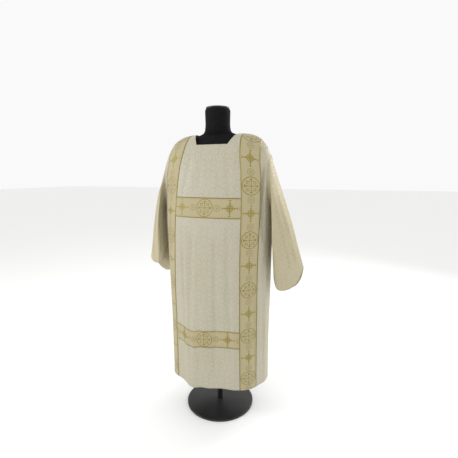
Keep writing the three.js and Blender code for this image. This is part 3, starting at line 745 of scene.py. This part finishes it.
@dataclass(frozen=True)
class PaintedFinish:
    """Black paint on steel or wood: an even satin skin with a faint orange peel."""

    name: str
    colour: str = "#141415"
    worn_colour: str = "#232324"
    roughness: float = 0.42

    def make(self) -> bpy.types.Material:
        """Build the material.

        Returns:
            The material.
        """
        r = Recipe(self.name)
        place = r.add("TexCoord", out="Object")
        peel = r.add("TexNoise", Vector=place, Scale=420.0, Detail=2.0)
        worn = r.add("TexNoise", Vector=place, Scale=14.0, Detail=4.0)
        colour = r.add("MixRGB", r.add("MULTIPLY", worn, 0.5), linear(self.colour), linear(self.worn_colour))
        bumped = r.add("Bump", Strength=0.2, Distance=0.0003, Height=peel, out="Normal")
        rough = r.add("MapRange", worn, 0.3, 0.7, self.roughness - 0.07, self.roughness + 0.08)
        r.set(Base_Color=colour, Roughness=rough, Normal=bumped)
        return r.material


# ---------------------------------------------------------------- the body of the garment
@dataclass
class BodyCut:
    """The cut and hang of the garment's body, which the panels and the strips on them share."""

    neck_half_width: float = 71.0
    neck_top_half_width: float = 109.0
    neck_drops: dict[Side, float] = field(default_factory=lambda: {Side.FRONT: 51.0, Side.BACK: 21.0})
    neck_side_share: float = 0.26   # share of the drop that is left where the neck's side turns up
    clavus_in_at_top: float = 125.0
    armhole_steps: int = 9
    lower_rows: tuple[float, ...] = (425, 500, 580, 660, 745, 830, HEM_BAND_DROP,
                                     HEM_BAND_DROP + GALLOON_WIDTH, 1080, 1160, GARMENT_LENGTH)
    section_steps: int = 160
    row_step: float = 8.0
    # How far out the main columns lie, more or less, which shares out the finer ones between them.
    column_outs: tuple[float, ...] = (0, 24, 48, 71, 94, 109, 155, 185, 215, 245, 272, 300, 328)
    column_step: float = 5.2
    grids: dict[Side, dict[str, np.ndarray]] = field(default_factory=dict)

    def __post_init__(self) -> None:
        """Work out the rows and columns, then both panels."""
        n = self.neck_half_width / self.clavus_in_at_top
        top = self.neck_top_half_width / self.clavus_in_at_top
        self.centre_shares = [0, n / 3, 2 * n / 3, n, n + 0.6 * (top - n), top, 1]
        self.rows = [UNDERARM_DROP * (1 - math.cos(math.pi * k / self.armhole_steps)) / 2
                     for k in range(self.armhole_steps + 1)]
        nearest = min(range(len(self.rows)), key=lambda k: abs(self.rows[k] - CHEST_BAND_DROP))
        self.rows[nearest] = CHEST_BAND_DROP
        self.rows += self.lower_rows
        self.row_places = divided(self.rows, self.row_step, 4)
        self.row_drops = np.interp(self.row_places, range(len(self.rows)), self.rows)
        half = divided(self.column_outs, self.column_step, 4)
        self.columns = np.concatenate([-half[:0:-1], half])
        for side in Side:
            self.grids[side] = self.panel(side)

    def height(self, out: np.ndarray, drop: np.ndarray) -> np.ndarray:
        """Height of a point of the body that lies out from the middle and down the cloth."""
        fade = np.clip(1 - drop / SHOULDER_FADE, 0, 1) ** 1.5
        return SHOULDER_TOP - drop - SHOULDER_LINE.read("fall", np.abs(out)) * fade

    def section(self, side: Side, drop: np.ndarray) -> dict[str, np.ndarray]:
        """Horizontal lines of cloth from the centre to the seam, with their lengths so far.

        Args:
            side: front or back.
            drop: how far down each line lies.

        Returns:
            Distance out, depth and length along each line.
        """
        turn = np.linspace(0, math.pi / 2, self.section_steps + 1)
        wanted = (side.name.lower(), "seam_out", "seam_depth", "power", "round")
        centre, seam_out, seam_depth, power, curve = (BODY.read(name, drop)[..., None] for name in wanted)
        out = seam_out * np.sin(turn) ** (2 / power)
        depth = seam_depth + (centre - seam_depth) * np.clip(np.cos(turn), 0, 1) ** (2 / curve)
        step = np.hypot(np.diff(out), np.diff(depth))
        length = np.concatenate([np.zeros_like(step[..., :1]), np.cumsum(step, axis=-1)], axis=-1)
        return {"out": out, "depth": depth, "length": length}

    def panel(self, side: Side) -> dict[str, np.ndarray]:
        """The inner skin of a panel with its normals and its place on the flat cloth.

        Args:
            side: front or back.

        Returns:
            Grids named points, normals, along, down and drop.
        """
        column = np.abs(self.columns)[None, :]
        neck = self.neck_drops[side]
        straight = 4            # main columns that end on the neck's straight lower edge
        necks = [neck] * straight + [neck * self.neck_side_share] + [0] * (SEAM_COLUMN - straight)
        neck_here = np.interp(column, range(SEAM_COLUMN + 1), necks)
        rows = self.row_drops[:, None]
        drop = np.where(rows < CHEST_BAND_DROP, neck_here + rows * (1 - neck_here / CHEST_BAND_DROP), rows)
        line = self.section(side, drop)
        whole = line["length"][..., -1]
        clavus_in = BODY.read("clavus_in", drop)
        clavus_out = clavus_in + GALLOON_WIDTH
        knots = [share * clavus_in for share in self.centre_shares]
        knots += [clavus_in + k / 3 * GALLOON_WIDTH for k in (1, 2, 3)]
        knots += [clavus_out + k / 3 * (whole - clavus_out) for k in (1, 2, 3)]
        knots = np.stack(knots, axis=-1)
        low = np.broadcast_to(np.minimum(np.floor(column).astype(int), SEAM_COLUMN - 1), drop.shape)
        part = column - low
        at_low = np.take_along_axis(knots, low[..., None], -1)[..., 0]
        at_high = np.take_along_axis(knots, low[..., None] + 1, -1)[..., 0]
        unslewed = np.sign(self.columns)[None, :] * (at_low + part * (at_high - at_low))
        along = unslewed - BODY.read("slew", drop) * (1 - (unslewed / whole) ** 2)
        out, depth = self.on_line(line, np.abs(along))
        share = along / whole
        for fold in FOLDS[side]:
            depth = depth + fold.lift(share, drop)
        seam = np.broadcast_to(column == SEAM_COLUMN, drop.shape) & (rows >= UNDERARM_DROP)
        seam = seam | ((rows == 0) & (neck_here == 0))
        depth = np.maximum(depth, np.where(seam, SEAM_GAP / 2, 0))
        height = self.height(out, drop)
        if side is Side.FRONT:
            height = height + rise(drop, LIFT_START, HEM_BAND_DROP) * sum(
                lift * bump((share - middle) / half) for middle, half, lift in FRONT_LIFTS)
        points = np.stack([np.sign(along) * out, side.value * depth, height], axis=-1)
        normals = skin_normals(points, side.value)
        lift = sum(crease.lift(along, drop) for crease in CREASES[side])
        free = rise(SEAM_COLUMN - np.broadcast_to(column, drop.shape), 0, 1) * rise(rows, 0, 60)
        points = points + normals * (lift * free)[..., None]
        normals = skin_normals(points, side.value)
        normals[seam, 1] = 0
        normals = unit(normals)
        down = run_length(points, 0) + drop[:1]
        return {"points": points, "normals": normals, "along": along, "down": down, "drop": drop}

    def on_line(self, line: dict[str, np.ndarray], along: np.ndarray) -> tuple[np.ndarray, np.ndarray]:
        """The place at a distance along each section line.

        Args:
            line: the section lines.
            along: distance from the centre on each.

        Returns:
            Distance out and depth.
        """
        length = line["length"]
        k = np.clip((length < along[..., None]).sum(axis=-1), 1, self.section_steps)[..., None]
        low, high = (np.take_along_axis(length, i, -1)[..., 0] for i in (k - 1, k))
        t = np.clip((along - low) / np.maximum(high - low, 1e-9), 0, 1)
        found = []
        for name in ("out", "depth"):
            start, end = (np.take_along_axis(line[name], i, -1)[..., 0] for i in (k - 1, k))
            found.append(start + t * (end - start))
        return found[0], found[1]

    def armhole(self, hand: Hand) -> tuple[np.ndarray, np.ndarray, np.ndarray]:
        """The armhole as a ring of fine places: down the front edge from the crest, then up the back.

        Args:
            hand: left or right of the wearer.

        Returns:
            The ring's places, the panels' normals there, and each place counted in the rows.
        """
        last = int(np.searchsorted(self.row_places, self.armhole_steps))
        column = -1 if hand is Hand.LEFT else 0
        places = self.row_places[:last + 1]
        rings = []
        for name in ("points", "normals"):
            front, back = (self.grids[side][name][:last + 1, column] for side in Side)
            ring = np.concatenate([front, back[-2:0:-1]])
            ring[0] = (front[0] + back[0]) / 2
            ring[last] = (front[last] + back[last]) / 2
            rings.append(ring)
        counted = np.concatenate([places, 2 * self.armhole_steps - places[-2:0:-1]])
        return rings[0], unit(rings[1]), counted


@dataclass
class Panel:
    """A body panel from the shoulder seams to the hem."""

    cut: BodyCut
    side: Side
    rests_on: tuple[str, ...] = ("form_torso",)

    def build(self) -> bpy.types.Object:
        """Build the panel's shell.

        Returns:
            The piece.
        """
        grid = self.cut.grids[self.side]
        points, normals = grid["points"], grid["normals"]
        cloth = np.stack([grid["along"], -grid["down"]], axis=-1)
        return lay_shell(self.side.name.lower() + "_cloth", points + normals * CLOTH, normals, SHELL, cloth)

    def dress(self, piece: bpy.types.Object, material: bpy.types.Material,
              strips: list[bpy.types.Object]) -> None:
        """Args:
            piece: the panel.
            material: its damask.
            strips: the strips that are sewn to it; not used.
        """
        declare(piece, self.side.name.lower(), material)


@dataclass
class Clavus:
    """A strip of galloon from the front hem over the shoulder to the back hem."""

    cut: BodyCut
    hand: Hand
    first_column: float = 6.0
    last_column: float = 9.0
    first_roundel: float = 226.0    # drop of the first roundel on the front

    def build(self) -> bpy.types.Object:
        """Build the strip's shell on both panels.

        Returns:
            The piece.
        """
        columns = self.hand.value * self.cut.columns
        taken = (columns >= self.first_column) & (columns <= self.last_column)
        front, back = (self.cut.grids[side] for side in Side)
        skins = {}
        for name in ("points", "normals", "along"):
            f, b = front[name][:, taken], back[name][:, taken]
            skins[name] = np.concatenate([f[:0:-1], (f[:1] + b[:1]) / 2, b[1:]])
        points, normals = skins["points"], unit(skins["normals"])
        lie = CLOTH + STRIP_CLEARANCE
        along = run_length(points, 0)
        middle = points.shape[1] // 2
        rows = len(front["points"])
        at = np.interp(self.first_roundel, self.cut.row_drops, np.arange(rows))
        start = np.interp(rows - 1 - at, np.arange(len(along)), along[:, middle])
        width = run_length(points, 1)
        across = width - width[:, -1:] / 2
        down = np.broadcast_to(along[:, middle:middle + 1] - start, across.shape)
        cloth = np.stack([across / width[:, -1:] * GALLOON_WIDTH, down], axis=-1)
        return lay_shell(f"clavus_{self.hand.word}_strip", points + normals * (lie + GALLOON_WALL), normals,
                         GALLOON_WALL, cloth)


@dataclass
class CrossBand:
    """A strip of galloon across the front between the two clavi."""

    cut: BodyCut
    name: str
    top: float
    roundel_at: float = -5.0        # where the middle roundel lies, towards the wearer's left

    def build(self) -> bpy.types.Object:
        """Build the strip's shell on the front panel.

        Returns:
            The piece.
        """
        grid = self.cut.grids[Side.FRONT]
        bottom, near = self.top + GALLOON_WIDTH, 0.01
        rows = (self.cut.row_drops >= self.top - near) & (self.cut.row_drops <= bottom + near)
        columns = np.abs(self.cut.columns) <= Clavus.first_column
        points, normals, along, drop = (
            grid[name][rows][:, columns].copy() for name in ("points", "normals", "along", "drop"))
        for end, inner in ((0, 1), (-1, -2)):
            points[:, end] += unit(points[:, inner] - points[:, end]) * SEAM_GAP
        lie = CLOTH + STRIP_CLEARANCE
        across = drop - self.top - GALLOON_WIDTH / 2
        cloth = np.stack([across, along - self.roundel_at], axis=-1)
        return lay_shell(f"crossband_{self.name}_strip", points + normals * (lie + GALLOON_WALL), normals,
                         GALLOON_WALL, cloth)


# ---------------------------------------------------------------- sleeves
@dataclass
class Sleeve:
    """A wide sleeve hanging from its armhole seam to its open cuff."""

    cut: BodyCut
    hand: Hand
    rows: int = 96
    first_rows: int = 8             # how many of the rows lie between the seam and the first place off it
    body_clearance: float = 4.0
    crease_start: float = 6.0       # how far from the seam the creases begin
    crease_full: float = 70.0       # and where they have their whole depth

    def on_ring(self, ring: dict[str, tuple[float, float, float]], turn: np.ndarray) -> np.ndarray:
        """Places on a ring through four points.

        Args:
            ring: the points, and how far the ring sags between them.
            turn: angles, 0 at the crest and a quarter turn at the front.

        Returns:
            The place at each angle.
        """
        crest, front, inner, back = (
            np.array([self.hand.value * out, depth, SHOULDER_TOP - drop])
            for out, depth, drop in (ring[name] for name in ("crest", "front", "inner", "back")))
        middle = (crest + inner) / 2
        cos, sin = np.cos(turn)[:, None], np.sin(turn)[:, None]
        bent = sin**2 * ((front + back) / 2 - middle)
        at = middle + cos * (crest - middle) + sin * (front - back) / 2 + bent
        out, depth, drop = ring.get("sag", (0, 0, 0))
        sag = np.array([self.hand.value * out, depth, -drop])
        return at + np.where(cos > 0, np.sin(2 * turn)[:, None] ** 2, 0) * sag

    def body_out(self, depth: np.ndarray, height: np.ndarray) -> np.ndarray:
        """Half width of the body.

        Args:
            depth: how far behind the neck axis each place is.
            height: how high it is.

        Returns:
            The half width at each place, or 0 above the underarm.
        """
        drop = np.minimum(SHOULDER_TOP - height, GARMENT_LENGTH)
        centre = np.where(depth < 0, BODY.read("front", drop), BODY.read("back", drop))
        share = np.clip(np.abs(depth) / centre, 0, 1)
        narrowed = (1 - share ** BODY.read("round", drop)) ** (1 / BODY.read("power", drop))
        out = BODY.read("seam_out", drop) * narrowed
        return np.where(drop < UNDERARM_DROP, 0, out)

    def paths(self, stations: np.ndarray, steps: np.ndarray) -> np.ndarray:
        """Smooth paths down the sleeve through its stations, by a centripetal spline.

        Args:
            stations: places of each path, station by station.
            steps: places along the paths from 0 to 1.

        Returns:
            A grid of places, a row for each step.
        """
        spans = len(stations) - 1
        before, after = 2 * stations[0] - stations[1], 2 * stations[-1] - stations[-2]
        padded = np.concatenate([[before], stations, [after]])
        rows = []
        for step in steps:
            i = min(int(step * spans), spans - 1)
            t = step * spans - i
            p0, p1, p2, p3 = padded[i:i + 4]
            d0, d1, d2 = (np.maximum(np.linalg.norm(b - a, axis=-1, keepdims=True), 1e-4) ** 0.5
                          for a, b in ((p0, p1), (p1, p2), (p2, p3)))
            m1 = ((p1 - p0) / d0 - (p2 - p0) / (d0 + d1) + (p2 - p1) / d1) * d1
            m2 = ((p2 - p1) / d1 - (p3 - p1) / (d1 + d2) + (p3 - p2) / d2) * d1
            square, cube = 3 * (p2 - p1) - 2 * m1 - m2, 2 * (p1 - p2) + m1 + m2
            rows.append(p1 + m1 * t + square * t**2 + cube * t**3)
        return np.array(rows)

    def build(self) -> bpy.types.Object:
        """Build the sleeve's shell.

        Returns:
            The piece.
        """
        ring, panel_normals, counted = self.cut.armhole(self.hand)
        turn = math.pi * counted / self.cut.armhole_steps
        sign = self.hand.value
        # The cloth leaves its seam outwards and down, most down at the crest and most out at the underarm.
        off = np.stack([sign * (10 - 4 * np.cos(turn)), 0 * turn, -7 - 6 * np.cos(turn)], axis=-1)
        rings = [SLEEVE_RINGS["upper"], SLEEVE_RINGS["fore"], CUFFS[self.hand]]
        stations = np.array([ring, ring + off, *(self.on_ring(r, turn) for r in rings)])
        first = 1 / (len(stations) - 1)
        steps = np.concatenate([np.linspace(0, first, self.first_rows + 1),
                                np.linspace(first, 1, self.rows - self.first_rows)[1:]])
        points = self.paths(stations, steps)
        near = rise(steps, 0, first)[:, None]
        clear = (self.body_out(points[..., 1], points[..., 2]) + near * (CLOTH + self.body_clearance)) * sign
        crowded = sign * points[..., 0] < sign * clear
        crowded[0] = False
        points[..., 0] = np.where(crowded, clear, points[..., 0])
        under = int(np.argmin(np.abs(counted - self.cut.armhole_steps)))
        points = np.roll(points, -under, axis=1)
        panel_normals = np.roll(panel_normals, -under, axis=0)
        normals = skin_normals(points, -sign, closed=True)
        ends = np.concatenate([points, points[:, :1]], axis=1)
        width = run_length(ends, 1)[:, :-1]
        down = run_length(points, 0)
        crest = int(np.argmin(np.roll(counted, -under)))
        across = -(width - width[:, crest:crest + 1])
        lift = sum(crease.lift(across, down) for crease in SLEEVE_CREASES[self.hand])
        points = points + normals * (lift * rise(down, self.crease_start, self.crease_full))[..., None]
        normals = skin_normals(points, -sign, closed=True)
        normals[0] = panel_normals
        girth = run_length(ends, 1)[:, -1].mean()
        evenly = np.broadcast_to(np.linspace(0, 1, points.shape[1])[None], width.shape)
        cloth = np.stack([evenly * girth, -down], axis=-1)
        points, normals, cloth = (np.concatenate([g, g[:, :1]], axis=1) for g in (points, normals, cloth))
        cloth[:, -1, 0] = girth * (1 + 1 / (points.shape[1] - 1))
        self.flat = (round(girth * MM, 2), round(float(down[-1].mean()) * MM, 2))
        return lay_shell(f"sleeve_{self.hand.word}_cloth", points + normals * CLOTH, normals, SHELL, cloth,
                         closed=True)

    def dress(self, piece: bpy.types.Object, material: bpy.types.Material) -> None:
        declare(piece, f"sleeve_{self.hand.word}", material)


# ---------------------------------------------------------------- dress form and stand
@dataclass
class DressForm:
    """The limbless form: torso with neck, and its cap."""

    sides: int = 96
    ring_step: float = 12.0
    cap_radius: float = 54.0
    cap_edge: float = 2.5

    def build_torso(self) -> bpy.types.Object:
        """Loft the torso through its table, ring by ring.

        Returns:
            The piece.
        """
        heights = np.array([row[0] for row in FORM.rows])
        places = divided(list(heights), self.ring_step, 2)
        levels = np.interp(places, range(len(heights)), heights)
        mesh = bmesh.new()
        rings = [self.ring(mesh, float(level)) for level in levels]
        for low, high in zip(rings, rings[1:]):
            bmesh.ops.bridge_loops(mesh, edges=low + high)
        for ring in (rings[0], rings[-1]):
            bmesh.ops.contextual_create(mesh, geom=ring)
        bmesh.ops.recalc_face_normals(mesh, faces=mesh.faces)
        for face in mesh.faces:
            face.smooth = len(face.verts) == 4
        return finished("form_jersey", mesh)

    def ring(self, mesh: bmesh.types.BMesh, level: float) -> list[bmesh.types.BMEdge]:
        """Add one level ring of the torso.

        Args:
            mesh: the torso so far.
            level: the ring's height above the shoulder top.

        Returns:
            The ring's edges.
        """
        half, front, back, power = (float(FORM.read(name, level)) for name in FORM.columns[1:])
        verts = bmesh.ops.create_circle(mesh, segments=self.sides, radius=1.0)["verts"]
        for vert in verts:
            c, s = vert.co.x, -vert.co.y
            full = 2 / power
            depth = front if s > 0 else back
            vert.co = Vector((half * math.copysign(abs(c) ** full, c),
                              -depth * math.copysign(abs(s) ** full, s), SHOULDER_TOP + level)) * MM
        return list({e for vert in verts for e in vert.link_edges})

    def build_cap(self) -> bpy.types.Object:
        """Turn the neck's cap, with its rim rounded over.

        Returns:
            The piece.
        """
        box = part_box("form_neck_cap")
        low, high = box[0].z / MM, box[1].z / MM
        profile = [(0, low), (self.cap_radius, low), (self.cap_radius, high), (0, high)]
        return turned("form_cap", profile, self.cap_edge)


@dataclass
class Stand:
    """The upright tube with its socket collar, and the round base."""

    pole_radius: float = 15.0
    socket_radius: float = 24.0
    socket_height: float = 46.0
    socket_slope: float = 6.0
    base_radius: float = 190.0
    base_thickness: float = 12.0
    rim_width: float = 6.0
    rim_fall: float = 1.0
    crown: float = 8.0

    def build_pole(self) -> bpy.types.Object:
        """Turn the pole and its collar.

        Returns:
            The piece.
        """
        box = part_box("stand_pole")
        low, high = box[0].z / MM, box[1].z / MM
        collar = high - self.socket_height
        profile = [(0, low), (self.pole_radius, low), (self.pole_radius, collar),
                   (self.socket_radius, collar + self.socket_slope), (self.socket_radius, high), (0, high)]
        return turned("stand_upright", profile, 1.2)

    def build_base(self) -> bpy.types.Object:
        """Turn the base plate, slightly crowned.

        Returns:
            The piece.
        """
        rim = self.base_thickness
        profile = [(0, 0), (self.base_radius, 0), (self.base_radius, rim - self.rim_fall),
                   (self.base_radius - self.rim_width, rim), (2 * self.pole_radius, rim + self.crown),
                   (0, rim + self.crown)]
        return turned("stand_plate", profile, 2.0)


def turned(name: str, profile: list[tuple[float, float]], round_off: float) -> bpy.types.Object:
    """Spin a profile round the upright axis and round its corners.

    Args:
        name: the piece's name.
        profile: radii and heights in millimetres, from axis to axis.
        round_off: how much each sharp corner is rounded.

    Returns:
        The piece.
    """
    mesh = bmesh.new()
    verts = [mesh.verts.new((radius * MM, 0, height * MM)) for radius, height in profile]
    edges = [mesh.edges.new(pair) for pair in zip(verts, verts[1:])]
    bmesh.ops.spin(mesh, geom=verts + edges, cent=(0, 0, 0), axis=(0, 0, 1), angle=2 * math.pi, steps=96,
                   use_merge=True)
    bmesh.ops.remove_doubles(mesh, verts=mesh.verts, dist=1e-6)
    bmesh.ops.recalc_face_normals(mesh, faces=mesh.faces)
    sharp_angle, on_axis = math.radians(25), 1e-4
    sharp = [e for e in mesh.edges if len(e.link_faces) == 2 and e.calc_face_angle(0) > sharp_angle
             and min(math.hypot(v.co.x, v.co.y) for v in e.verts) > on_axis]
    bmesh.ops.bevel(mesh, geom=sharp, offset=round_off * MM, affect="EDGES", segments=3, profile=0.5,
                    material=-1)
    for face in mesh.faces:
        face.smooth = True
    return finished(name, mesh)


# ---------------------------------------------------------------- camera, floor and light
@dataclass
class Studio:
    """A pale floor, soft light and the camera."""

    place: tuple[float, float, float] = (0.6207, -1.5364, 1.269)
    turn: float = 20.22             # degrees to the left of straight ahead
    pitch: float = 16.7             # degrees down
    lens: float = 25.94
    shift: float = 0.098
    floor_size: float = 60.0

    def set_camera(self) -> None:
        """Stand the camera and make it the scene's own."""
        data = bpy.data.cameras.new("view")
        data.lens, data.sensor_width, data.shift_y = self.lens, 36.0, self.shift
        data.clip_start, data.clip_end = 0.05, 200.0
        camera = bpy.data.objects.new("view", data)
        bpy.context.scene.collection.objects.link(camera)
        turn, pitch = math.radians(self.turn), math.radians(self.pitch)
        level = math.cos(pitch)
        ahead = Vector((-math.sin(turn) * level, math.cos(turn) * level, -math.sin(pitch)))
        camera.location = self.place
        camera.rotation_euler = ahead.to_track_quat("-Z", "Y").to_euler()
        bpy.context.scene.camera = camera

    def lay_floor(self) -> None:
        """Lay the floor, which isn't part of the object."""
        mesh = bmesh.new()
        bmesh.ops.create_grid(mesh, x_segments=1, y_segments=1, size=self.floor_size / 2)
        floor = finished("floor", mesh)
        r = Recipe("Floor, matt white paint")
        r.set(Base_Color=linear("#F4F4F3"), Roughness=0.9)
        floor.data.materials.append(r.material)

    def light(self) -> None:
        """A pale surround, one large soft light before the wearer and a weaker one on each side."""
        world = bpy.data.worlds.new("surround")
        world.use_nodes = True
        background = world.node_tree.nodes["Background"]
        background.inputs[0].default_value = linear("#FFFFFF")
        background.inputs[1].default_value = 0.95
        bpy.context.scene.world = world
        for name, place, size, power in (
                ("key", (-2.7, -1.9, 2.3), 1.0, 48.0), ("fill", (2.9, -1.1, 2.0), 1.0, 17.0),
                ("back", (1.6, 2.6, 2.4), 1.2, 40.0)):
            data = bpy.data.lights.new(name, "AREA")
            data.energy, data.size = power, size
            lamp = bpy.data.objects.new(name, data)
            bpy.context.scene.collection.objects.link(lamp)
            lamp.location = place
            aim = Vector((0, 0, 1.0)) - Vector(place)
            lamp.rotation_euler = aim.to_track_quat("-Z", "Y").to_euler()


def main() -> None:
    """Build and dress every piece in order."""
    logging.basicConfig(level=logging.INFO, format="%(name)s %(message)s")
    studio = Studio()
    studio.set_camera()
    bpy.context.scene.view_settings.view_transform = "Standard"
    damask, galloon = DamaskFinish().make(), GalloonFinish().make()
    # The sleeves take a warmer copy of the same damask: painted sheen, for the gold that the cloth shows at
    # glancing angles.
    sheen_painted_damask = DamaskFinish("Damask, satin-woven with more gilt weft", ground="#A79F85", figure="#BAB296",
                               shade="#A29779", gilt="#BA9E55").make()
    cut = BodyCut()
    strips = {}
    for hand in Hand:
        strips[hand] = Clavus(cut, hand).build()
        declare(strips[hand], f"clavus_{hand.word}", galloon)
    bands = []
    for name, top in (("chest", CHEST_BAND_DROP), ("hem", HEM_BAND_DROP)):
        bands.append(CrossBand(cut, name, top).build())
        declare(bands[-1], f"crossband_{name}", galloon)
    for side in Side:
        panel = Panel(cut, side)
        panel.dress(panel.build(), damask, [*strips.values(), *bands] if side is Side.FRONT else [])
    for hand in Hand:
        sleeve = Sleeve(cut, hand)
        sleeve.dress(sleeve.build(), sheen_painted_damask)
    form, stand = DressForm(), Stand()
    steel = PaintedFinish("Powder coat on steel").make()
    declare(form.build_torso(), "form_torso", JerseyFinish().make())
    declare(form.build_cap(), "form_neck_cap", PaintedFinish("Lacquer on wood").make())
    declare(stand.build_pole(), "stand_pole", steel)
    declare(stand.build_base(), "stand_base", steel)
    studio.lay_floor()
    studio.light()


if __name__ == "__main__":
    main()
